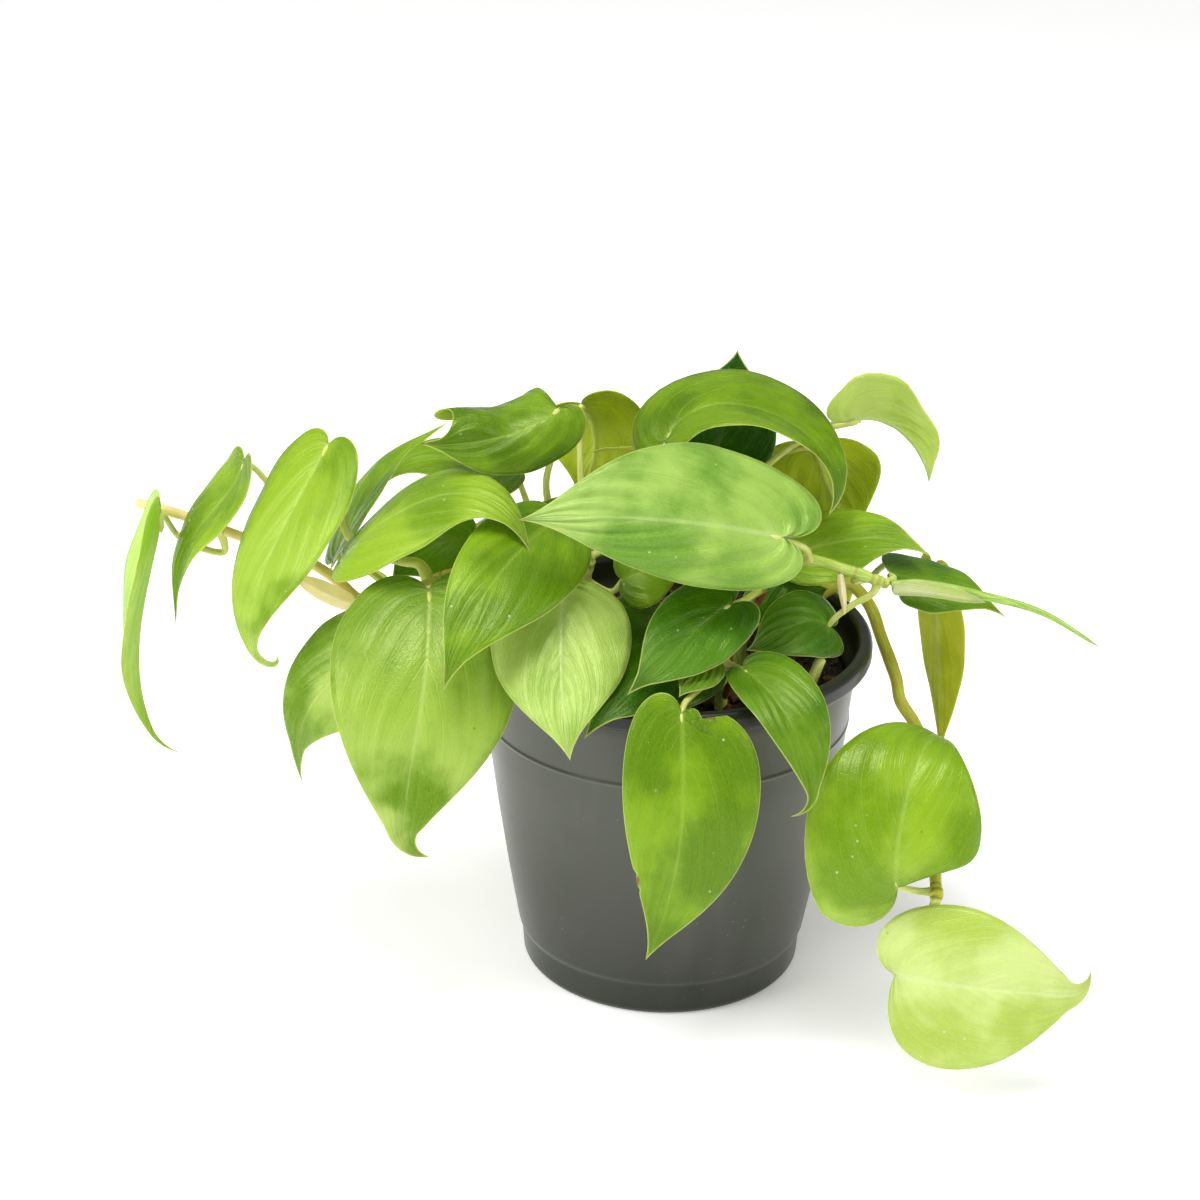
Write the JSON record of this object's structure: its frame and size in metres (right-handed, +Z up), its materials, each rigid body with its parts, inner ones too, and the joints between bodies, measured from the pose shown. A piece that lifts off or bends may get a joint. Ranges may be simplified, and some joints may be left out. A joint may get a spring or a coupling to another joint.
{
  "type": "potted heartleaf philodendron",
  "caption": "Young heartleaf philodendron with glossy heart-shaped leaves on short arching and trailing stems, in a tapered round nursery pot filled with soil.",
  "frame": {"origin": "centre of the pot's underside, on the surface it stands on", "axes": "+Z up along the pot's axis; -Y towards the front of the plant; the longer vine reaches towards -X"},
  "size_m": [0.363, 0.2179, 0.2301],
  "materials": {
    "pot": "dark grey moulded plastic, satin",
    "soil": "dark brown potting soil with bark chips, rough",
    "stem": "green stem, satin",
    "leaf": "soft glossy green leaf, paler midrib",
    "sheath": "pale papery sheath, matt",
    "dry_sheath": "dry orange-brown sheath, matt"
  },
  "bodies": {
    "root": {"pot": "pot", "vine_left": "stem", "vine_right": "stem", "vine_top_right": "stem", "vine_back": "stem", "stem_centre": "stem", "stem_mid": "stem", "stem_front": "stem", "stem_right_front": "stem", "stem_left_top": "stem", "stem_back": "stem", "soil": "soil", "leaf_far_left": "leaf", "leaf_left_small": "leaf", "leaf_left_big": "leaf", "leaf_up_left": "leaf", "leaf_arch_left": "leaf", "leaf_rolled_top": "leaf", "leaf_under_top": "leaf", "leaf_back_hanging": "leaf", "leaf_centre_big": "leaf", "leaf_top_arch": "leaf", "leaf_back_dark": "leaf", "leaf_back_right": "leaf", "leaf_right_point": "leaf", "leaf_upper_right": "leaf", "leaf_centre_left": "leaf", "leaf_back_centre": "leaf", "leaf_front_light": "leaf", "leaf_front_left": "leaf", "leaf_left_low": "leaf", "leaf_front_torn": "leaf", "leaf_behind_centre": "leaf", "leaf_small_olive": "leaf", "leaf_dark_heart": "leaf", "leaf_bright": "leaf", "leaf_right_front": "leaf", "leaf_small_right": "leaf", "leaf_dark_small": "leaf", "leaf_far_right": "leaf", "leaf_strip": "leaf", "leaf_right_low": "leaf", "leaf_lowest": "leaf", "leaf_dark_under": "leaf", "leaf_edge": "leaf", "leaf_rear_left": "leaf", "leaf_rear_middle": "leaf", "leaf_rear_low": "leaf", "leaf_rear_right": "leaf", "leaf_rear_high": "leaf", "leaf_rear_side": "leaf", "sheath_left": "sheath", "sheath_right": "sheath", "sheath_front": "dry_sheath", "sheath_small_right": "sheath", "sheath_dry": "dry_sheath", "shoot": "leaf"}
  },
  "joints": []
}
